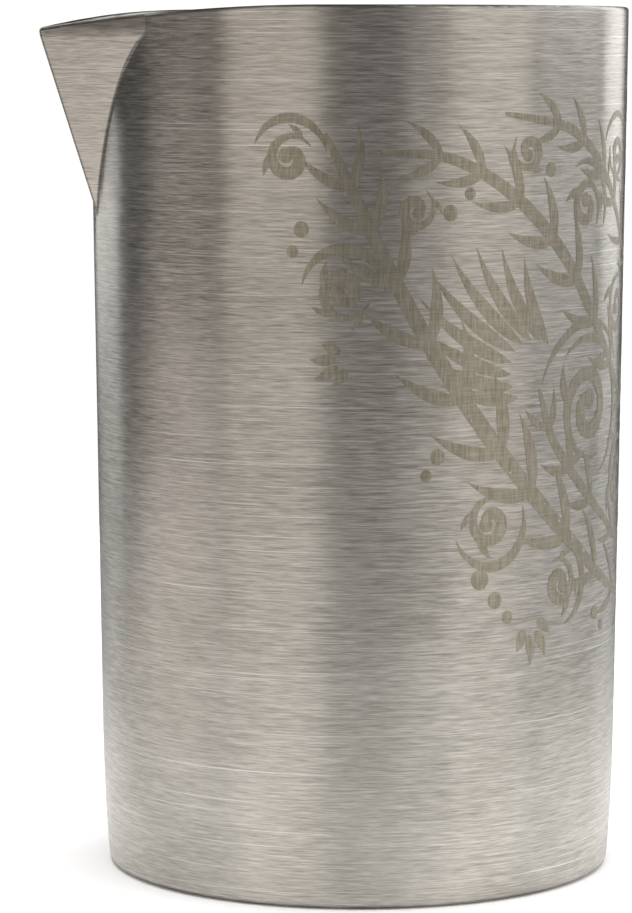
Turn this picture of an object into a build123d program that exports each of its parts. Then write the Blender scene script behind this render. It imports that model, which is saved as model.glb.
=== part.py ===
from build123d import *

import math
import os

# Double-wall stirring tin with a pressed V-shaped spout. Millimetres, +Z up.
# The origin is where the vessel's axis meets the surface it stands on, and the spout points along -X.

# Body, outside sizes
height = 144.0  # rim above the resting surface
rim_radius = 45.0
waist_radius = 43.4  # where the straight taper ends and the wall starts to tuck in
waist_height = 22.0
foot_tuck = 0.8  # how far the foot stands inside the taper carried on down
foot_corner = 1.5  # rounded corner under the foot
rim_round = 0.6  # rounded edges of the rim, outside and inside

# Walls
outer_wall = 0.6
liner_wall = 0.5
base_wall = 0.8
jacket_gap = 2.0  # evacuated space between the two walls

# Spout
fold_angle = 26.0  # degrees around the rim from the spout's axis to where each flat side starts
spout_depth = 35.2  # rim plane down to where the keel leaves the wall
spout_overhang = 9.4  # sharp tip beyond the rim radius
lip_height = 4.2  # rim plane down to the knee, above which the spout is upright
knee_radius = 5.0
keel_round = 1.2  # each sheet's ridge along the keel, on its outer face
fold_round = 2.0  # each sheet's fold where a flat side leaves the round wall, on its outer face
droop_start = 17.6  # axis to where the rim starts to fall towards the tip
tip_drop = 3.5  # rim plane down to the sharp tip

# Base
seam_height = 4.0  # weld between the outer shell and its base
foot_ring_width = 5.2  # flat ring that the tin stands on, with its corners
foot_ring_corner = 1.2
base_recess = 3.2  # resting surface up to the recessed panel
vent_radius = 1.0  # hole that the jacket is evacuated through
vent_dimple_radius = 7.0
vent_dimple_depth = 1.6
seal_margin = 1.2  # dimple wall to the sealing bead
seal_height = 1.1

# Cover plate under the base
cover_clearance = 0.2  # cover to the rounded corner of its recess
cover_wall = 0.6
cover_corner = 1.0
cover_inset = 0.9  # resting surface up to the cover
adhesive_radius = 28.0
adhesive_width = 8.0

# Bottom of the liner
liner_seam_height = 26.0
liner_floor = 11.0  # resting surface up to the liner's underside
liner_corner = 8.0
floor_step_radius = 27.0
floor_step_height = 0.8
floor_step_run = 3.0
floor_step_round = 2.0

# Inside the evacuated jacket
foil_thickness = 0.15
foil_margin = 4.0  # foil edges to the liner's seam and to the start of the spout
foil_slit = 4.0  # degrees left open where the foil's ends meet
getter_radius = 4.0
getter_height = 2.2
getter_chamfer = 0.3
getter_distance = 22.0  # axis to the getter
clip_wall = 0.3
clip_width = 5.0
clip_foot = 5.0
clip_play = 0.4
clip_bend = 0.6

headroom = 6.0  # tool solids run this far past the rim
overrun = 10.0

rim_split = (outer_wall + jacket_gap + liner_wall) / 2  # the two lips are welded here
liner_outside = outer_wall + jacket_gap
liner_inside = liner_outside + liner_wall
top = height + headroom
taper = (rim_radius - waist_radius) / (height - waist_height)


def taper_radius(z):
    """Outer radius on the straight taper."""
    return rim_radius - taper * (height - z)


# The tuck is one arc, tangent to the taper at the waist and passing through the foot.
foot_radius = taper_radius(0) - foot_tuck
taper_length = math.hypot(taper, 1)
tuck_chord = math.hypot(waist_radius - foot_radius, waist_height)
tuck_radius = tuck_chord**2 * taper_length / (2 * foot_tuck)
tuck_centre_r = waist_radius - tuck_radius / taper_length
tuck_centre_z = waist_height + tuck_radius * taper / taper_length


def tuck_wall_radius(z):
    """Outer radius on the tuck arc."""
    return tuck_centre_r + math.sqrt(tuck_radius**2 - (z - tuck_centre_z) ** 2)


def turned(profile):
    """Solid of revolution from a profile drawn as (radius, height)."""
    return revolve(Plane.XZ * profile, Axis.Z)


def round_body(inset, bottom):
    """Solid inside the round wall, stood off inwards by inset."""
    middle = (bottom + waist_height) / 2
    tuck = ThreePointArc(
        (tuck_wall_radius(bottom) - inset, bottom),
        (tuck_wall_radius(middle) - inset, middle),
        (waist_radius - inset, waist_height),
    )
    rest = Polyline(
        (waist_radius - inset, waist_height),
        (taper_radius(top) - inset, top),
        (0, top),
        (0, bottom),
        (tuck_wall_radius(bottom) - inset, bottom),
    )
    return turned(make_face([tuck, *rest.edges()]))


def tapered_body(inset, bottom):
    """Solid inside the straight taper alone, carried on below the waist."""
    foot, head = (taper_radius(bottom) - inset, bottom), (taper_radius(top) - inset, top)
    return turned(make_face(Polyline(foot, head, (0, top), (0, bottom), close=True)))


keel_start = height - spout_depth
knee_height = height - lip_height
tip_reach = rim_radius + spout_overhang
keel_slope = (tip_reach - taper_radius(keel_start)) / (knee_height - keel_start)
fold_x = rim_radius * math.cos(math.radians(fold_angle))
fold_y = rim_radius * math.sin(math.radians(fold_angle))
half_angle = math.atan2(fold_y, tip_reach - fold_x)  # each flat side from the spout's axis, seen from above
droop_run = tip_reach - droop_start
droop_radius = (droop_run**2 + tip_drop**2) / (2 * tip_drop)


def spout_wedge(inset):
    """Solid V of the spout: the keel's side view, extruded along both flat sides and intersected."""
    upright_shift = inset / math.sin(half_angle)
    leaning_shift = upright_shift * math.hypot(1, keel_slope * math.sin(half_angle))
    reach = tip_reach - upright_shift
    low = keel_start - overrun
    low_reach = taper_radius(keel_start) - leaning_shift - keel_slope * overrun
    knee = low + (reach - low_reach) / keel_slope
    back = reach * math.cos(2 * half_angle)  # ends the flat sides where they pass closest to the axis
    keel = FilletPolyline((-low_reach, low), (-reach, knee), (-reach, top), radius=knee_radius - inset)
    rest = Polyline((-reach, top), (back, top), (back, low), (-low_reach, low))
    side_view = Plane.XZ * make_face([*keel.edges(), *rest.edges()])
    flat_sides = [
        extrude(side_view, 2 * rim_radius, dir=(math.cos(half_angle), side * math.sin(half_angle), 0), both=True)
        for side in (-1, 1)
    ]
    return flat_sides[0] & flat_sides[1]


def rises(edge):
    heights = [(edge @ at).Z for at in (0, 0.5, 1)]
    return max(heights) - min(heights) > 0.01


def on_keel(edge):
    return rises(edge) and all(abs((edge @ at).Y) < 0.01 and (edge @ at).X < 0 for at in (0, 0.5, 1))


def with_spout(body, inset, depth=0):
    """Round body joined to the spout, rounded for a face that lies depth below its sheet's outer face.

    The keel is rounded first, then the folds, which run around the keel's foot.
    """
    vessel = body + spout_wedge(inset)
    vessel = fillet(vessel.edges().filter_by(on_keel), keel_round - depth)
    wall = max(vessel.faces().filter_by(GeomType.CONE), key=lambda face: face.area)
    folds = wall.edges().filter_by(lambda edge: rises(edge) and (edge @ 0.5).X < 0)
    return fillet(folds, fold_round + depth)


def space_above_rim(drop):
    """Everything above the rim surface lowered by drop; the rim falls in an arc towards the tip."""
    level = height - drop
    far = tip_reach + overrun
    run = far - droop_start

    def arc_point(share):
        along = run * share
        return -droop_start - along, level - droop_radius + math.sqrt(droop_radius**2 - along**2)

    droop = ThreePointArc((-droop_start, level), arc_point(0.5), arc_point(1))
    rest = Polyline(arc_point(1), (-far, top + overrun), (far, top + overrun), (far, level), (-droop_start, level))
    return extrude(Plane.XZ * make_face([droop, *rest.edges()]), far, both=True)


def rim_edges(solid, chosen):
    """Edges around the rim's top faces, without the seam between those faces, that chosen keeps."""
    tops = [face for face in solid.faces() if face.normal_at().Z > 0.9 and face.center().Z > knee_height]
    edges = [edge for face in tops for edge in face.edges()]
    outline = [edge for edge in edges if sum(edge.is_same(other) for other in edges) == 1]
    return [edge for edge in outline if chosen(edge)]


def outer_shell():
    outside = with_spout(round_body(0, seam_height), 0) - space_above_rim(0)
    outside = fillet(rim_edges(outside, lambda edge: True), rim_round)
    hollow = with_spout(round_body(outer_wall, seam_height), outer_wall, outer_wall)
    mouth = with_spout(tapered_body(rim_split, keel_start - overrun), rim_split)
    return outside - (hollow - space_above_rim(outer_wall)) - mouth


def inner_liner():
    lip = with_spout(tapered_body(rim_split, keel_start - overrun), rim_split)
    wall = with_spout(tapered_body(liner_outside, liner_seam_height), liner_outside)
    inside = with_spout(tapered_body(liner_inside, liner_seam_height), liner_inside, liner_wall)
    liner = wall + (lip & space_above_rim(liner_wall)) - space_above_rim(0) - inside
    lip_middle = (rim_split + liner_inside) / 2
    mid_lip = with_spout(tapered_body(lip_middle, keel_start - overrun), lip_middle)
    return fillet(rim_edges(liner, lambda edge: mid_lip.is_inside(edge @ 0.5)), rim_round)


def sheet(points, radii, thickness):
    """Turned sheet-metal piece from the middle line of its section."""
    return turned(trace(FilletPolyline(*points, radius=radii), thickness))


def ring(inner, outer, low, high):
    """Flat ring around the vessel's axis."""
    return turned(make_face(Polyline((inner, low), (outer, low), (outer, high), (inner, high), close=True)))


def liner_base():
    skirt = taper_radius(liner_seam_height) - (liner_outside + liner_inside) / 2
    floor = liner_floor + liner_wall / 2
    raised = floor + floor_step_height
    points = (
        (skirt, liner_seam_height),
        (skirt, floor),
        (floor_step_radius + floor_step_run, floor),
        (floor_step_radius, raised),
        (0, raised),
    )
    return sheet(points, [liner_corner, floor_step_round, floor_step_round], liner_wall)


panel_top = base_recess + base_wall
ring_inner = foot_radius - foot_ring_width
inner_ring_corner = foot_ring_corner - base_wall
dimple_top = panel_top + vent_dimple_depth


def corners_near(face, *places):
    return [min(face.vertices(), key=lambda v: math.dist((v.X, v.Y), place)) for place in places]


def outer_base():
    """Pan that closes the jacket: a foot ring, a recessed panel and a dimple with the vent hole."""
    skirt = tuck_wall_radius(seam_height)
    outer_foot, inner_foot = (foot_radius, 0), (foot_radius - base_wall, base_wall)
    outer_heel, inner_heel = (ring_inner, 0), (ring_inner + base_wall, base_wall)
    panel_corner, panel_inner_corner = (ring_inner, base_recess), (ring_inner + base_wall, panel_top)
    dimple_wall = vent_dimple_radius + base_wall
    dimple_roof = dimple_top - base_wall
    section = make_face(
        Polyline(
            (skirt, seam_height),
            outer_foot,
            outer_heel,
            panel_corner,
            (vent_dimple_radius, base_recess),
            (vent_dimple_radius, dimple_roof),
            (vent_radius, dimple_roof),
            (vent_radius, dimple_top),
            (dimple_wall, dimple_top),
            (dimple_wall, panel_top),
            panel_inner_corner,
            inner_heel,
            inner_foot,
            (skirt - base_wall, seam_height),
            close=True,
        )
    )
    section = fillet(corners_near(section, outer_foot), foot_corner)
    section = fillet(corners_near(section, inner_foot), foot_corner - base_wall)
    section = fillet(corners_near(section, outer_heel, panel_inner_corner), foot_ring_corner)
    section = fillet(corners_near(section, inner_heel, panel_corner), inner_ring_corner)
    return turned(section)


def vacuum_seal():
    """Bead of solder glass that fills the vent hole and spreads below it."""
    spread = vent_dimple_radius - seal_margin
    roof = dimple_top - base_wall
    bead = ring(0, spread, roof - seal_height, roof)
    bead = fillet(bead.edges().group_by(Axis.Z)[0], seal_height / 2)
    return bead + ring(0, vent_radius, roof, dimple_top)


def base_cover():
    skirt = ring_inner - inner_ring_corner - cover_clearance - cover_wall / 2
    plate = cover_inset + cover_wall / 2
    return sheet(((skirt, base_recess), (skirt, plate), (0, plate)), cover_corner - cover_wall / 2, cover_wall)


def cover_adhesive():
    return ring(adhesive_radius - adhesive_width, adhesive_radius, cover_inset + cover_wall, base_recess)


def radiation_foil():
    """Foil wrapped around the liner, open along a narrow slit opposite the spout."""
    low, high = liner_seam_height + foil_margin, keel_start - foil_margin
    inner = [(taper_radius(z) - liner_outside, z) for z in (low, high)]
    outer = [(r + foil_thickness, z) for r, z in inner]
    section = Plane.XZ * make_face(Polyline(*inner, *reversed(outer), close=True))
    return revolve(section, Axis.Z, 360 - foil_slit).rotate(Axis.Z, foil_slit / 2)


def base_foil():
    """Foil disc under the raised middle of the liner's base."""
    level = liner_floor + floor_step_height
    return ring(0, floor_step_radius - floor_step_round, level - foil_thickness, level)


def getter():
    tablet = extrude(Plane.XY.offset(panel_top) * Circle(getter_radius), getter_height)
    tablet = chamfer(tablet.edges(), getter_chamfer)
    return tablet.translate((getter_distance, 0, 0))


def getter_clip():
    """Strap spot-welded to the panel on both sides of the getter."""
    half = getter_radius + clip_play + clip_wall / 2
    foot = panel_top + clip_wall / 2
    bridge = panel_top + getter_height + clip_wall / 2
    path = FilletPolyline(
        (-half - clip_foot, foot),
        (-half, foot),
        (-half, bridge),
        (half, bridge),
        (half, foot),
        (half + clip_foot, foot),
        radius=clip_bend,
    )
    return extrude(Plane.YZ.offset(getter_distance) * trace(path, clip_wall), clip_width / 2, both=True)


parts = {
    "outer_shell": outer_shell(),
    "inner_liner": inner_liner(),
    "liner_base": liner_base(),
    "outer_base": outer_base(),
    "base_cover": base_cover(),
    "cover_adhesive": cover_adhesive(),
    "vacuum_seal": vacuum_seal(),
    "radiation_foil": radiation_foil(),
    "base_foil": base_foil(),
    "getter": getter(),
    "getter_clip": getter_clip(),
}

os.makedirs("parts", exist_ok=True)
for name, part in parts.items():
    export_step(part, f"parts/{name}.step")
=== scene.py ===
import cmath
import math

import bpy
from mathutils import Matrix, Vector


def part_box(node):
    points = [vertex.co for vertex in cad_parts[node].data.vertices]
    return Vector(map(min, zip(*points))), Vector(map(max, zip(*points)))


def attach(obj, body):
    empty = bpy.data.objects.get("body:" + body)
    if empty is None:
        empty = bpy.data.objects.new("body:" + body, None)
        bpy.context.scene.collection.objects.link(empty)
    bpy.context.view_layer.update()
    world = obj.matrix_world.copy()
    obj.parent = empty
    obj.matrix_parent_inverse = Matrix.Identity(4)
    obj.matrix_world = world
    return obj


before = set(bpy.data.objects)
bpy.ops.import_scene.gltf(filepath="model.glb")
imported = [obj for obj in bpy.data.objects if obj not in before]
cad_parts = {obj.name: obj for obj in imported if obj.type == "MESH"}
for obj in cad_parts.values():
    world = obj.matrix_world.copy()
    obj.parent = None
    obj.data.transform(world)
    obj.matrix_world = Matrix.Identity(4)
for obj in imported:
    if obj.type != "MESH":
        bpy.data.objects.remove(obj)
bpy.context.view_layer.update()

mm = 0.001
print("frame loaded:", len(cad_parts), "nodes")


# sRGB hex to the linear colour that sockets take
def hexColour(text):
    parts = [int(text[i:i + 2], 16) / 255 for i in (0, 2, 4)]
    return tuple(p / 12.92 if p <= 0.04045 else ((p + 0.055) / 1.055) ** 2.4 for p in parts) + (1.0,)


def addNode(tree, kind, settings=None, links=None):
    made = tree.nodes.new(kind)
    for name, value in (settings or {}).items():
        if isinstance(name, int) or name in made.inputs:
            made.inputs[name].default_value = value
        else:
            setattr(made, name, value)
    for name, source in (links or {}).items():
        tree.links.new(source, made.inputs[name])
    return made


def newMaterial(name):
    made = bpy.data.materials.new(name)
    made.use_nodes = True
    made.node_tree.nodes.clear()
    return made, made.node_tree


# the camera stands a little below the rim's height and looks slightly down through a long lens
cameraPlace = {
    "distance": 630 * mm, "height": 137.2 * mm,
    "spoutTurn": 14.5,  # degrees the spout is turned towards the lens
    "pitch": 6.225, "yaw": -0.651,  # degrees down, and off the vessel's middle
    "lens": 147.56, "sensor": 36.0, "nearest": 10 * mm,
}


def placeCamera(c):
    turn, pitch, yaw = (math.radians(c[k]) for k in ("spoutTurn", "pitch", "yaw"))
    data = bpy.data.cameras.new("camera")
    data.lens, data.sensor_width, data.sensor_fit = c["lens"], c["sensor"], "AUTO"
    data.clip_start = c["nearest"]
    camera = bpy.data.objects.new("camera", data)
    bpy.context.scene.collection.objects.link(camera)
    camera.location = (-c["distance"] * math.sin(turn), -c["distance"] * math.cos(turn), c["height"])
    heading = turn + yaw
    level = math.cos(pitch)
    forward = Vector((math.sin(heading) * level, math.cos(heading) * level, -math.sin(pitch)))
    camera.rotation_euler = forward.to_track_quat("-Z", "Y").to_euler()
    bpy.context.scene.camera = camera


placeCamera(cameraPlace)
print("camera placed")

# a round white floor in a nearly white room, in metres
studio = {
    "floorRadius": 0.45, "floorSides": 96, "floorColour": "fbfbfb", "floorCameraGlow": 0.10,
    # the floor as the metal sees it is painted light and shade: painted bright near the vessel and painted
    # darker further off
    "nearPaintedLight": "f0f0f0", "farPaintedShade": "929292", "nearRadius": 0.07, "farRadius": 0.24,
    "roomGlow": 0.035, "backdrop": 1.05,
    "boxDistance": 1.0, "boxBottom": 0.02, "boxTop": 0.95,
    # the top light whitens the floor; the metal sees a dimmer one of the same size
    "top": {"size": 0.9, "height": 1.1, "floorRadiance": 7.0, "metalRadiance": 1.6, "colour": "ffffff"},
    # a white card that lies on the floor beside the spout and lights its flat side from below
    "card": {
        "turn": -80, "distance": 0.30, "height": 0.004, "size": (0.30, 0.22),
        "radiance": 0.85, "colour": "fff2ec",
    },
}
# a soft box: where it starts and ends around the vessel in degrees from the camera's side, radiance, colour
softBoxes = [
    ("leftKey", -57, -15, 0.94, "fff6ee"),
    ("leftLow", -98, -70, 0.10, "fff0ec"),
    ("middle", -15, 20, 0.08, "fff9f5"),
    ("rightKey", 20, 78, 0.52, "fff9f5"),
    ("rightKeyCore", 38, 78, 0.64, "fff9f5"),
    ("rightFill", 80, 122, 0.86, "ffffff"),
    ("rightEdge", 126, 152, 1.55, "ffffff"),
    ("leftEdge", -158, -124, 1.1, "ffffff"),
]


def makeFloor(s):
    bpy.ops.object.select_all(action="DESELECT")
    bpy.ops.mesh.primitive_circle_add(vertices=s["floorSides"], radius=s["floorRadius"], fill_type="NGON")
    floor = bpy.context.object
    floor.name = "floor"
    material, tree = newMaterial("paintedStudioFloor")
    seen = addNode(tree, "ShaderNodeLightPath").outputs["Is Camera Ray"]
    place = addNode(tree, "ShaderNodeTexCoord").outputs["Object"]
    away = addNode(tree, "ShaderNodeVectorMath", {"operation": "LENGTH"}, {0: place}).outputs["Value"]
    far = addNode(
        tree, "ShaderNodeMapRange", {"From Min": s["nearRadius"], "From Max": s["farRadius"]},
        {"Value": away},
    ).outputs[0]
    # painted light and shade on the floor, seen only by reflected rays: bright near the vessel, darker
    # further off
    paintedFalloff = addNode(
        tree, "ShaderNodeMix",
        {"data_type": "RGBA", 6: hexColour(s["nearPaintedLight"]), 7: hexColour(s["farPaintedShade"])}, {0: far},
    ).outputs[2]
    paint = addNode(
        tree, "ShaderNodeMix", {"data_type": "RGBA", 7: hexColour(s["floorColour"])},
        {0: seen, 6: paintedFalloff},
    ).outputs[2]
    shader = addNode(tree, "ShaderNodeBsdfDiffuse", links={"Color": paint})
    # painted light: the floor glows for camera rays alone, brightening the shade around the vessel's base
    lift = addNode(tree, "ShaderNodeMath", {"operation": "MULTIPLY", 1: s["floorCameraGlow"]}, {0: seen})
    glow = addNode(tree, "ShaderNodeEmission", links={"Strength": lift.outputs[0]})
    both = addNode(tree, "ShaderNodeAddShader", links={0: shader.outputs[0], 1: glow.outputs[0]})
    addNode(tree, "ShaderNodeOutputMaterial", links={"Surface": both.outputs[0]})
    floor.data.materials.append(material)


def makeRoom(s):
    world = bpy.data.worlds.new("room")
    bpy.context.scene.world = world
    world.use_nodes = True
    tree = world.node_tree
    tree.nodes.clear()
    path = addNode(tree, "ShaderNodeLightPath")
    white = hexColour("ffffff")
    glow = addNode(tree, "ShaderNodeBackground", {"Color": white, "Strength": s["roomGlow"]})
    backdrop = addNode(tree, "ShaderNodeBackground", {"Color": white, "Strength": s["backdrop"]})
    mix = addNode(
        tree, "ShaderNodeMixShader",
        links={0: path.outputs["Is Camera Ray"], 1: glow.outputs[0], 2: backdrop.outputs[0]},
    )
    addNode(tree, "ShaderNodeOutputWorld", links={"Surface": mix.outputs[0]})


def makeLight(name, place, target, size, radiance, colour):
    data = bpy.data.lights.new(name, "AREA")
    data.shape = "RECTANGLE"
    data.size, data.size_y = size
    data.energy = radiance * math.pi * size[0] * size[1]
    data.color = hexColour(colour)[:3]
    light = bpy.data.objects.new(name, data)
    bpy.context.scene.collection.objects.link(light)
    light.location = place
    light.rotation_euler = (Vector(target) - Vector(place)).to_track_quat("-Z", "Y").to_euler()
    light.visible_camera = False
    return light


def around(distance, angle, height):
    return distance * math.cos(angle), distance * math.sin(angle), height


def lightStudio(s, boxes, turn):
    front = math.radians(-90 - turn)  # from the vessel to the camera
    middleHeight, tall = (s["boxBottom"] + s["boxTop"]) / 2, s["boxTop"] - s["boxBottom"]
    for name, low, high, radiance, colour in boxes:
        middle, half = math.radians((low + high) / 2), math.radians((high - low) / 2)
        width = 2 * s["boxDistance"] * math.tan(half)
        place = around(s["boxDistance"], front + middle, middleHeight)
        makeLight(name, place, (0, 0, middleHeight), (width, tall), radiance, colour)
    t = s["top"]
    for name, radiance in (("topOnFloor", t["floorRadiance"]), ("topOnMetal", t["metalRadiance"])):
        size = (t["size"], t["size"])
        light = makeLight(name, (0, 0, t["height"]), (0, 0, 0), size, radiance, t["colour"])
        light.visible_glossy = name == "topOnMetal"
        light.visible_diffuse = name == "topOnFloor"
    c = s["card"]
    place = around(c["distance"], front + math.radians(c["turn"]), c["height"])
    straightUp = (place[0], place[1], 1)
    makeLight("card", place, straightUp, c["size"], c["radiance"], c["colour"])


makeFloor(studio)
makeRoom(studio)
lightStudio(studio, softBoxes, cameraPlace["spoutTurn"])
bpy.context.scene.view_settings.view_transform = "Standard"
print("studio lit")


# what the steels and the plainer finishes share
surface = {
    "noiseLow": 0.3, "noiseHigh": 0.7,  # nearly all of a noise lies between these
    "noiseRoughness": 0.6,
    "highlightTurn": 0.25,  # a quarter turn: the highlight stretches across the grit
    "gritDepth": 0.02 * mm,
}


# noise drawn out around the vessel: long along the grit's path, fine across it, both in millimetres
def streaks(tree, place, long, fine, detail=2.0, roughness=surface["noiseRoughness"]):
    scale = (1 / (long * mm), 1 / (long * mm), 1 / (fine * mm))
    drawn = addNode(tree, "ShaderNodeMapping", {"Scale": scale}, {"Vector": place})
    return addNode(
        tree, "ShaderNodeTexNoise", {"Scale": 1.0, "Detail": detail, "Roughness": roughness},
        {"Vector": drawn.outputs[0]},
    ).outputs[0]


# each steel ends in this shader: the highlight runs across grit that circles the vessel's axis
def finishSteel(tree, look, paint, height, rough=None):
    bump = addNode(
        tree, "ShaderNodeBump", {"Strength": look["relief"], "Distance": surface["gritDepth"]},
        {"Height": height},
    )
    gritPath = addNode(tree, "ShaderNodeTangent", {"direction_type": "RADIAL", "axis": "Z"})
    settings = {
        "Metallic": 1.0, "Anisotropic": look["anisotropy"], "Anisotropic Rotation": surface["highlightTurn"],
    }
    links = {"Base Color": paint, "Normal": bump.outputs[0], "Tangent": gritPath.outputs[0]}
    if rough is None:
        settings["Roughness"] = look["roughness"]
    else:
        links["Roughness"] = rough
    shader = addNode(tree, "ShaderNodeBsdfPrincipled", settings, links)
    addNode(tree, "ShaderNodeOutputMaterial", links={"Surface": shader.outputs[0]})


# stainless steel, brushed around the axis with grit about 0.15 mm wide: bands of light that run up the
# wall, short fine streaks across them and a few longer bright scratches
outerLook = {
    "shortStreak": (3.5, 0.15), "midStreak": (12.0, 0.30), "scratch": (45.0, 0.16), "cloud": 22.0,
    "dark": "a39f96", "light": "e2ded6", "scratchColour": "f6f4f0",
    "scratchFrom": 0.65, "roughness": (0.28, 0.40), "anisotropy": 0.85, "relief": 0.3,
}
# the same steel inside, satin brushed: a softer grain, crossed low down by the weld's faint straw-brown line
linerLook = {
    "shortStreak": (8.0, 0.22), "midStreak": (20.0, 0.5), "scratch": (60.0, 0.2), "cloud": 30.0,
    "dark": "b3b0aa", "light": "d6d3cd", "scratchColour": "e8e6e2",
    "scratchFrom": 0.70, "roughness": (0.30, 0.38), "anisotropy": 0.75, "relief": 0.2,
    "weldHeight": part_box("liner_base")[1][2], "weldWidth": 0.35 * mm, "weldColour": "94856d",
}
# how much the middle streaks and the clouds add to the short ones, and the range of the sum
brushing = {"midShare": 0.45, "cloudShare": 0.3, "toneFrom": 0.66, "toneTo": 1.09, "scratchEdge": 0.1}


def brushedSteel(name, look, b):
    material, tree = newMaterial(name)
    place = addNode(tree, "ShaderNodeTexCoord").outputs["Object"]
    short = streaks(tree, place, *look["shortStreak"], detail=3.0)
    middle = streaks(tree, place, *look["midStreak"])
    scratch = streaks(tree, place, *look["scratch"], detail=1.0)
    cloud = streaks(tree, place, look["cloud"], look["cloud"])
    both = addNode(
        tree, "ShaderNodeMath", {"operation": "MULTIPLY_ADD", 1: b["midShare"]}, {0: middle, 2: short},
    ).outputs[0]
    grain = addNode(
        tree, "ShaderNodeMath", {"operation": "MULTIPLY_ADD", 1: b["cloudShare"]}, {0: cloud, 2: both},
    ).outputs[0]
    tone = addNode(
        tree, "ShaderNodeMapRange", {"From Min": b["toneFrom"], "From Max": b["toneTo"]},
        {"Value": grain},
    ).outputs[0]
    paint = addNode(
        tree, "ShaderNodeMix", {"data_type": "RGBA", 6: hexColour(look["dark"]), 7: hexColour(look["light"])},
        {0: tone},
    ).outputs[2]
    lines = addNode(
        tree, "ShaderNodeMapRange",
        {"From Min": look["scratchFrom"], "From Max": look["scratchFrom"] + b["scratchEdge"]},
        {"Value": scratch},
    ).outputs[0]
    paint = addNode(
        tree, "ShaderNodeMix", {"data_type": "RGBA", 7: hexColour(look["scratchColour"])},
        {0: lines, 6: paint},
    ).outputs[2]
    if "weldHeight" in look:
        height = addNode(tree, "ShaderNodeSeparateXYZ", links={0: place}).outputs[2]
        above = addNode(
            tree, "ShaderNodeMath", {"operation": "SUBTRACT", 1: look["weldHeight"]}, {0: height},
        ).outputs[0]
        away = addNode(tree, "ShaderNodeMath", {"operation": "ABSOLUTE"}, {0: above}).outputs[0]
        weld = addNode(
            tree, "ShaderNodeMapRange", {"From Min": look["weldWidth"], "From Max": 0.0},
            {"Value": away},
        ).outputs[0]
        paint = addNode(
            tree, "ShaderNodeMix", {"data_type": "RGBA", 7: hexColour(look["weldColour"])},
            {0: weld, 6: paint},
        ).outputs[2]
    smoothest, roughest = look["roughness"]
    rough = addNode(
        tree, "ShaderNodeMapRange",
        {
            "From Min": surface["noiseLow"], "From Max": surface["noiseHigh"],
            "To Min": smoothest, "To Max": roughest,
        },
        {"Value": short},
    ).outputs[0]
    finishSteel(tree, look, paint, both, rough)
    return material


# the same stainless steel, laser-etched through the brushing: matt olive grey, nearly the same from every
# side, with the etching head's fine crosswise lines
etchedLook = {
    "dark": "96907f", "light": "bfb9a9", "streak": (4.5, 0.17), "hatch": (0.34, 3.0), "hatchRoughness": 0.5,
    "toneFrom": 0.7, "toneTo": 1.3, "roughness": 0.48, "relief": 0.35, "anisotropy": 0.6,
}


def etchedSteel(look):
    material, tree = newMaterial("stainlessSteelEtched")
    place = addNode(tree, "ShaderNodeTexCoord").outputs["Object"]
    streak = streaks(tree, place, *look["streak"], detail=3.0)
    hatch = streaks(tree, place, *look["hatch"], roughness=look["hatchRoughness"])
    both = addNode(tree, "ShaderNodeMath", {"operation": "ADD"}, {0: streak, 1: hatch}).outputs[0]
    tone = addNode(
        tree, "ShaderNodeMapRange", {"From Min": look["toneFrom"], "From Max": look["toneTo"]},
        {"Value": both},
    ).outputs[0]
    paint = addNode(
        tree, "ShaderNodeMix", {"data_type": "RGBA", 6: hexColour(look["dark"]), 7: hexColour(look["light"])},
        {0: tone},
    ).outputs[2]
    finishSteel(tree, look, paint, both)
    return material


# stainless steel spun on a lathe: fine rings around the middle and a fan of light that turns with the view
spunLook = {
    "ring": 0.25, "broadRing": 1.6, "dark": "a6a39d", "light": "d8d5cf", "toneFrom": 0.7, "toneTo": 1.3,
    "roughness": (0.24, 0.34), "anisotropy": 0.8, "relief": 0.4,
}


def spunSteel(look):
    material, tree = newMaterial("stainlessSteelSpun")
    place = addNode(tree, "ShaderNodeTexCoord").outputs["Object"]
    parts = addNode(tree, "ShaderNodeSeparateXYZ", links={0: place})
    flat = addNode(tree, "ShaderNodeCombineXYZ", links={0: parts.outputs[0], 1: parts.outputs[1]})
    radius = addNode(
        tree, "ShaderNodeVectorMath", {"operation": "LENGTH"}, {0: flat.outputs[0]},
    ).outputs["Value"]
    rings = []
    for width in (look["ring"], look["broadRing"]):
        step = addNode(tree, "ShaderNodeMath", {"operation": "DIVIDE", 1: width * mm}, {0: radius})
        rings.append(addNode(
            tree, "ShaderNodeTexNoise", {"noise_dimensions": "1D", "Scale": 1.0, "Detail": 2.0},
            {"W": step.outputs[0]},
        ).outputs[0])
    both = addNode(tree, "ShaderNodeMath", {"operation": "ADD"}, {0: rings[0], 1: rings[1]}).outputs[0]
    tone = addNode(
        tree, "ShaderNodeMapRange", {"From Min": look["toneFrom"], "From Max": look["toneTo"]},
        {"Value": both},
    ).outputs[0]
    paint = addNode(
        tree, "ShaderNodeMix", {"data_type": "RGBA", 6: hexColour(look["dark"]), 7: hexColour(look["light"])},
        {0: tone},
    ).outputs[2]
    smoothest, roughest = look["roughness"]
    rough = addNode(
        tree, "ShaderNodeMapRange",
        {
            "From Min": surface["noiseLow"], "From Max": surface["noiseHigh"],
            "To Min": smoothest, "To Max": roughest,
        },
        {"Value": rings[0]},
    ).outputs[0]
    finishSteel(tree, look, paint, both, rough)
    return material


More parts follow.
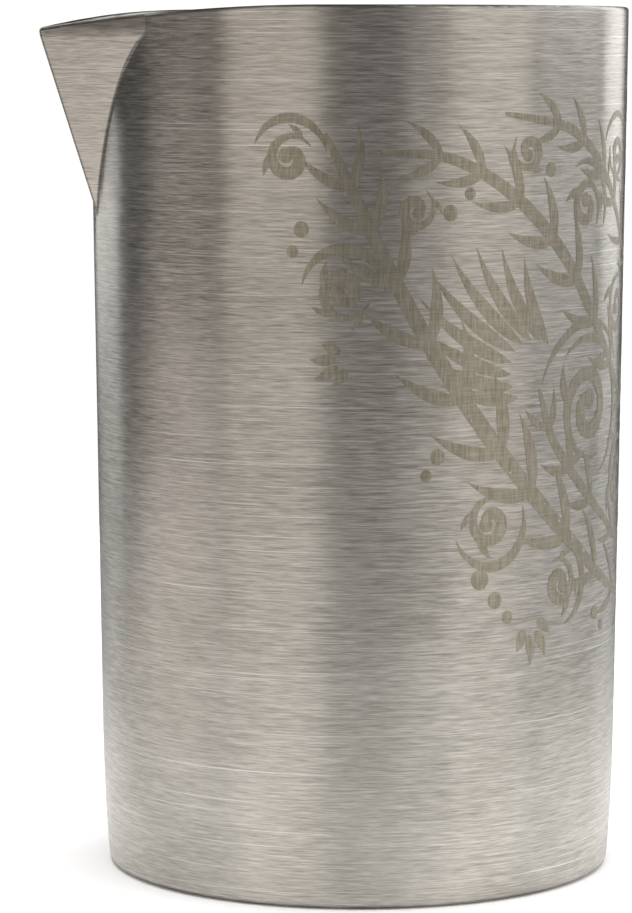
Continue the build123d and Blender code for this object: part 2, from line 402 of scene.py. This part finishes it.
# the plainer finishes share one recipe: a cloud of one size between two colours, its relief and roughness
plainLooks = {
    # copper foil, cold rolled: warm and mirror-like, softly dented where it was wrapped
    "copperFoilRolled": {
        "dark": "b4683f", "light": "e0a077", "grain": (6.0, 6.0), "fine": (1.2, 1.2), "metallic": 1.0,
        "roughness": (0.16, 0.28), "relief": 0.12, "depth": 0.5,
    },
    # nickel strip, cold rolled: slightly yellow white metal with lines along the strip
    "nickelStripRolled": {
        "dark": "a8a397", "light": "cfcabc", "grain": (4.0, 0.3), "fine": (1.0, 0.1), "metallic": 1.0,
        "roughness": (0.25, 0.38), "relief": 0.2, "depth": 0.02,
    },
    # zirconium alloy powder, pressed and sintered: dull, dark and grainy
    "getterPowderSintered": {
        "dark": "2e2d2c", "light": "5a5855", "grain": (0.6, 0.6), "fine": (0.15, 0.15), "metallic": 0.6,
        "roughness": (0.62, 0.82), "relief": 0.7, "depth": 0.08,
    },
    # silicone adhesive, cured in place: milky white with a soft skin
    "siliconeAdhesiveCured": {
        "dark": "c2c0b8", "light": "dbd9d2", "grain": (5.0, 5.0), "fine": (0.8, 0.8), "metallic": 0.0,
        "roughness": (0.38, 0.52), "relief": 0.3, "depth": 0.1,
    },
    # solder glass, melted into the vent: nearly black with a fire-polished gloss
    "solderGlassMelted": {
        "dark": "121316", "light": "2b2d33", "grain": (2.0, 2.0), "fine": (0.5, 0.5), "metallic": 0.0,
        "roughness": (0.05, 0.14), "relief": 0.1, "depth": 0.05,
    },
}
plainMixing = {"fineShare": 0.4, "toneFrom": 0.45, "toneTo": 0.95}


def plainFinish(name, look, p):
    material, tree = newMaterial(name)
    place = addNode(tree, "ShaderNodeTexCoord").outputs["Object"]
    broad = streaks(tree, place, *look["grain"])
    fine = streaks(tree, place, *look["fine"], detail=3.0)
    both = addNode(
        tree, "ShaderNodeMath", {"operation": "MULTIPLY_ADD", 1: p["fineShare"]}, {0: fine, 2: broad},
    ).outputs[0]
    tone = addNode(
        tree, "ShaderNodeMapRange", {"From Min": p["toneFrom"], "From Max": p["toneTo"]},
        {"Value": both},
    ).outputs[0]
    paint = addNode(
        tree, "ShaderNodeMix", {"data_type": "RGBA", 6: hexColour(look["dark"]), 7: hexColour(look["light"])},
        {0: tone},
    ).outputs[2]
    smoothest, roughest = look["roughness"]
    rough = addNode(
        tree, "ShaderNodeMapRange",
        {
            "From Min": surface["noiseLow"], "From Max": surface["noiseHigh"],
            "To Min": smoothest, "To Max": roughest,
        },
        {"Value": fine},
    ).outputs[0]
    bump = addNode(
        tree, "ShaderNodeBump", {"Strength": look["relief"], "Distance": look["depth"] * mm},
        {"Height": both},
    )
    shader = addNode(
        tree, "ShaderNodeBsdfPrincipled", {"Metallic": look["metallic"]},
        {"Base Color": paint, "Roughness": rough, "Normal": bump.outputs[0]},
    )
    addNode(tree, "ShaderNodeOutputMaterial", links={"Surface": shader.outputs[0]})
    return material


finishes = {name: plainFinish(name, look, plainMixing) for name, look in plainLooks.items()}
finishes["outer"] = brushedSteel("stainlessSteelBrushed", outerLook, brushing)
finishes["liner"] = brushedSteel("stainlessSteelSatin", linerLook, brushing)
finishes["spun"] = spunSteel(spunLook)
finishes["etched"] = etchedSteel(etchedLook)
nodeFinish = {
    "outer_shell": "outer", "outer_base": "outer", "inner_liner": "liner", "liner_base": "liner",
    "base_cover": "spun", "cover_adhesive": "siliconeAdhesiveCured", "vacuum_seal": "solderGlassMelted",
    "radiation_foil": "copperFoilRolled", "base_foil": "copperFoilRolled",
    "getter": "getterPowderSintered", "getter_clip": "nickelStripRolled",
}
for node, finish in nodeFinish.items():
    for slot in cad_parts[node].material_slots:
        slot.material = finishes[finish]
print("finishes made:", len(finishes))

# The scrollwork is drawn unrolled, in millimetres, as complex numbers. The real part runs around the wall
# from the line opposite the spout, the imaginary part is the height. One half is drawn, the other mirrored.
scrollwork = {
    "proud": 0.03, "nibHeight": 0.02, "nibDepth": 0.12,  # a nib is a flat lens, mostly sunk in the wall
    "step": 1.2,  # longest stretch of a scroll between two sections
    "squeeze": 0.96, "lift": 3.0,  # the whole drawing, across and up
    # strokes thin to this share of their width at the mirror line, and are full from so far away
    "axisWidth": 0.25, "fullFrom": 45.0,
    "smoothAngle": 30,
    # a stem: half width, then the points it passes
    "stems": [
        (1.4, [2 + 46j, 14 + 43j, 30 + 47j, 46 + 57j, 60 + 70j, 71 + 84j, 80 + 99j, 86 + 111j, 91 + 121j]),
        (1.2, [3 + 75j, 12 + 73j, 24 + 79j, 36 + 90j, 46 + 101j, 58 + 111j, 70 + 117j, 82 + 118j]),
        (1.1, [4 + 100j, 12 + 98j, 22 + 103j, 32 + 113j, 44 + 121j, 60 + 124j]),
        (1.0, [10 + 50j, 24 + 54j, 38 + 62j, 48 + 71j, 52 + 80j]),
    ],
    # leaves along each stem: how many on each side, length, half width
    "stemLeaves": [(12, 14.0, 1.25), (10, 11.5, 1.1), (8, 10.0, 1.05), (5, 9.0, 0.95)],
    # a scroll: centre, radius, turns, direction of its outer end in degrees, hand, half width, leaves
    "scrolls": [
        (38 + 76j, 8.5, 1.6, 245, 1, 1.6, 3),
        (22 + 64j, 7.5, 1.6, 200, -1, 1.5, 3),
        (9 + 86j, 7.0, 1.6, 300, 1, 1.4, 3),
        (25 + 92j, 6.0, 1.5, 160, -1, 1.3, 3),
        (12 + 110j, 6.0, 1.5, 280, 1, 1.3, 3),
        (40 + 109j, 4.8, 1.4, 220, -1, 1.1, 3),
        (97 + 117j, 4.2, 1.3, 150, -1, 1.1, 2),
        (88 + 96j, 4.6, 1.4, 200, 1, 1.1, 3),
        (62 + 59j, 4.6, 1.4, 130, -1, 1.1, 3),
        (46 + 48j, 4.4, 1.4, 60, 1, 1.1, 3),
        (7 + 57j, 5.0, 1.4, 150, 1, 1.1, 3),
        (55 + 118j, 3.6, 1.3, 40, -1, 0.9, 2),
        (27 + 117j, 4.4, 1.4, 20, -1, 1.0, 3),
        (76 + 109j, 3.6, 1.3, 120, 1, 0.9, 2),
    ],
    # an arc that follows a scroll's back: centre, radius, first and last direction in degrees, half width
    "crescents": [
        (38 + 76j, 11.6, 250, 50, 1.1), (38 + 76j, 14.2, 150, 20, 0.8), (22 + 64j, 10.4, 170, 330, 1.1),
        (9 + 86j, 9.6, 60, 230, 1.0), (12 + 110j, 8.6, 40, 200, 1.0),
        (88 + 96j, 7.0, 180, 10, 0.9), (62 + 59j, 7.0, 160, 340, 0.9), (46 + 48j, 6.8, 90, 260, 0.9),
        (40 + 109j, 7.2, 210, 60, 0.9), (97 + 117j, 6.4, 170, 20, 0.8),
        (27 + 117j, 6.6, 160, 20, 0.8),
    ],
    # a palmette: root, length, half width, first and last direction in degrees, blades
    "palmettes": [
        (46 + 77j, 35.0, 1.15, 10, 68, 9),
        (14 + 120j, 8.0, 1.0, 50, 130, 4),
        (54 + 44j, 9.0, 1.0, 215, 290, 4),
        (86 + 86j, 8.0, 0.9, -50, 20, 4),
    ],
    # a dot: centre, radius
    "dots": [
        (70 + 108.5j, 1.3), (66.5 + 111.5j, 1.0), (64 + 50j, 1.7), (61 + 46.5j, 1.4), (72 + 70j, 1.3),
        (58.4 + 43.6j, 1.1), (74 + 67j, 1.0), (34 + 42j, 1.4), (31 + 39.5j, 1.1), (50 + 115j, 1.2),
        (95 + 106j, 1.3), (96.5 + 102.5j, 1.0), (33 + 84j, 1.2), (18 + 76j, 1.2), (5 + 93j, 1.1),
    ],
}


# how strokes swell and curl, as shares of their own width, length or radius
pen = {
    "tip": 0.04, "leafBelly": 0.7,  # below 1 the leaf is fullest before its middle
    "crescentTip": 0.05, "crescentSwell": 0.8,
    "stemEnds": 0.25, "stemSwell": 0.6, "stemSteps": 8,
    "scrollEnds": 0.12, "scrollSwell": 0.9, "scrollTaper": 0.85, "fewestSteps": 12,
    "meanReach": 0.6,  # a scroll is about this share as long as full circles of its radius
    "curlIn": 0.80, "curlPace": 0.85,  # how far a scroll winds inwards, and how early
    "eye": 1.15,  # the dot at a scroll's inner end
    "leafLean": 33, "leafBend": 0.17,
    "endLeaves": 0.35,  # leaves near a stroke's ends are this much shorter
    "stemLeavesFrom": 0.02, "stemLeavesTo": 0.95,
    "scrollLeavesFrom": 0.0, "scrollLeavesTo": 0.45, "scrollLeafWidth": 0.7,
    "bladeStart": 0.42, "bladeBend": -0.14,
    "outerBlade": 0.74,  # length of a palmette's first and last blade
}


# a stroke is a list of (place, half width); a leaf is pointed at both ends
def leaf(start, end, bend, half, steps=12):
    middle = (start + end) / 2 + bend * 1j * (end - start)
    stroke = []
    for i in range(steps + 1):
        t = i / steps
        place = start * (1 - t) ** 2 + 2 * middle * t * (1 - t) + end * t ** 2
        stroke.append((place, half * max(pen["tip"], math.sin(math.pi * t ** pen["leafBelly"]))))
    return stroke


def crescent(centre, radius, first, last, half, steps=24):
    stroke = []
    for i in range(steps + 1):
        t = i / steps
        place = centre + cmath.rect(radius, math.radians(first + (last - first) * t))
        swell = math.sin(math.pi * t) ** pen["crescentSwell"]
        stroke.append((place, half * max(pen["crescentTip"], swell)))
    return stroke


def dot(centre, radius, steps=10):
    turns = [math.pi * i / steps for i in range(steps + 1)]
    return [(centre - radius * math.cos(turn), radius * max(pen["tip"], math.sin(turn))) for turn in turns]


# a smooth line through the points, a Catmull-Rom curve, thin at its start and end
def stem(points, half):
    ends = [2 * points[0] - points[1]] + points + [2 * points[-1] - points[-2]]
    line = []
    for a, b, c, d in zip(ends, ends[1:], ends[2:], ends[3:]):
        for i in range(pen["stemSteps"]):
            t = i / pen["stemSteps"]
            bow = (2 * a - 5 * b + 4 * c - d) * t ** 2 + (3 * b - a - 3 * c + d) * t ** 3
            line.append(b + (c - a) * t / 2 + bow / 2)
    line.append(points[-1])
    last = len(line) - 1
    stroke = []
    for i, place in enumerate(line):
        swell = math.sin(math.pi * i / last) ** pen["stemSwell"]
        stroke.append((place, half * (pen["stemEnds"] + (1 - pen["stemEnds"]) * swell)))
    return stroke


def scroll(centre, radius, turns, start, hand, half, step):
    steps = max(pen["fewestSteps"], int(turns * 2 * math.pi * radius * pen["meanReach"] / step))
    stroke = []
    for i in range(steps + 1):
        t = i / steps
        reach = radius * (1 - pen["curlIn"] * t ** pen["curlPace"])
        place = centre + cmath.rect(reach, math.radians(start) + hand * turns * 2 * math.pi * t)
        swell = math.sin(math.pi * min(1.0, t * pen["scrollTaper"])) ** pen["scrollSwell"]
        stroke.append((place, half * (pen["scrollEnds"] + (1 - pen["scrollEnds"]) * swell)))
    return stroke


# leaves that spring from one side of a stroke and lean along its run
def leavesAlong(stroke, count, length, half, side, first, last):
    leaves = []
    for i in range(count):
        at = first + (last - first) * (i + 0.5) / count
        index = int(at * (len(stroke) - 2))
        (here, _), (there, _) = stroke[index], stroke[index + 1]
        run = (there - here) / abs(there - here)
        size = length * (1 - pen["endLeaves"] * abs(2 * at - 1))
        tip = here + size * run * cmath.rect(1, side * math.radians(pen["leafLean"]))
        leaves.append(leaf(here, tip, pen["leafBend"] * side, half * size / length))
    return leaves


def drawHalf(s):
    strokes = []
    for (half, points), (count, length, leafHalf) in zip(s["stems"], s["stemLeaves"]):
        line = stem(points, half)
        strokes.append(line)
        for side in (-1, 1):
            strokes += leavesAlong(
                line, count, length, leafHalf, side, pen["stemLeavesFrom"], pen["stemLeavesTo"],
            )
    for centre, radius, turns, start, hand, half, leaves in s["scrolls"]:
        line = scroll(centre, radius, turns, start, hand, half, s["step"])
        strokes.append(line)
        strokes.append(dot(line[-1][0], pen["eye"] * half))
        strokes += leavesAlong(
            line, leaves, radius, half * pen["scrollLeafWidth"], -hand,
            pen["scrollLeavesFrom"], pen["scrollLeavesTo"],
        )
    for arc in s["crescents"]:
        strokes.append(crescent(*arc))
    for root, length, half, first, last, blades in s["palmettes"]:
        for i in range(blades):
            share = i / (blades - 1)
            way = cmath.rect(1, math.radians(first + (last - first) * share))
            size = length * (pen["outerBlade"] + (1 - pen["outerBlade"]) * math.sin(math.pi * share))
            start = root + pen["bladeStart"] * size * way
            strokes.append(leaf(start, root + size * way, pen["bladeBend"], half))
    for centre, radius in s["dots"]:
        strokes.append(dot(centre, radius))
    return strokes


def mirrored(strokes):
    return [[(-place.conjugate(), half) for place, half in stroke] for stroke in strokes]


# the nib's width is the curve's radius in millimetres
def makeNib(s):
    bpy.ops.curve.primitive_nurbs_path_add()
    nib = bpy.context.object
    nib.data.splines.clear()
    line = nib.data.splines.new("POLY")
    line.points.add(3)
    corners = ((-mm, 0), (0, s["nibHeight"] * mm), (mm, 0), (0, -s["nibDepth"] * mm))
    for point, (across, up) in zip(line.points, corners):
        point.co = (across, up, 0, 1)
    line.use_cyclic_u = True
    return nib


def makeScrollwork(s):
    bpy.ops.object.select_all(action="DESELECT")
    nib = makeNib(s)
    bpy.ops.curve.primitive_nurbs_path_add()
    piece = bpy.context.object
    piece.name = "etched_scrollwork"
    curve = piece.data
    curve.splines.clear()
    half = drawHalf(s)
    for stroke in half + mirrored(half):  # the half width becomes the curve's radius, which scales the nib
        line = curve.splines.new("POLY")
        line.points.add(len(stroke) - 1)
        for point, (place, width) in zip(line.points, stroke):
            point.co = (s["squeeze"] * place.real * mm, (place.imag + s["lift"]) * mm, 0, 1)
            share = s["axisWidth"] + (1 - s["axisWidth"]) * abs(place.real) / s["fullFrom"]
            point.radius = width * min(1.0, share)
    curve.dimensions = "3D"
    curve.twist_mode = "Z_UP"
    curve.bevel_mode = "OBJECT"
    curve.bevel_object = nib
    curve.use_fill_caps = True
    bpy.ops.object.select_all(action="DESELECT")
    piece.select_set(True)
    bpy.context.view_layer.objects.active = piece
    bpy.ops.object.convert(target="MESH")
    bpy.ops.object.transform_apply(location=True, rotation=True, scale=True)
    bpy.ops.object.mode_set(mode="EDIT")
    bpy.ops.mesh.select_all(action="SELECT")
    bpy.ops.mesh.normals_make_consistent(inside=False)
    bpy.ops.object.mode_set(mode="OBJECT")
    bpy.data.objects.remove(nib)
    wrapOnWall(piece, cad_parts["outer_shell"], s["proud"] * mm)
    bpy.ops.object.shade_smooth_by_angle(angle=math.radians(s["smoothAngle"]))
    piece.data.materials.clear()
    piece.data.materials.append(finishes["etched"])
    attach(piece, "root")
    return piece


# rolls the flat drawing around the axis and sets each point on the wall, found by a ray from outside
def wrapOnWall(piece, wall, proud):
    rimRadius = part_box("outer_shell")[1][1]
    outside = 2 * rimRadius
    for vertex in piece.data.vertices:
        across, height, up = vertex.co
        angle = across / rimRadius
        way = Vector((math.cos(angle), math.sin(angle), 0))
        found, place, _, _ = wall.ray_cast(way * outside + Vector((0, 0, height)), -way)
        reach = (place.xy.length if found else rimRadius) + proud + up
        vertex.co = (way.x * reach, way.y * reach, height)
    piece.data.update()


etched = makeScrollwork(scrollwork)
print("scrollwork etched:", len(etched.data.polygons), "faces")
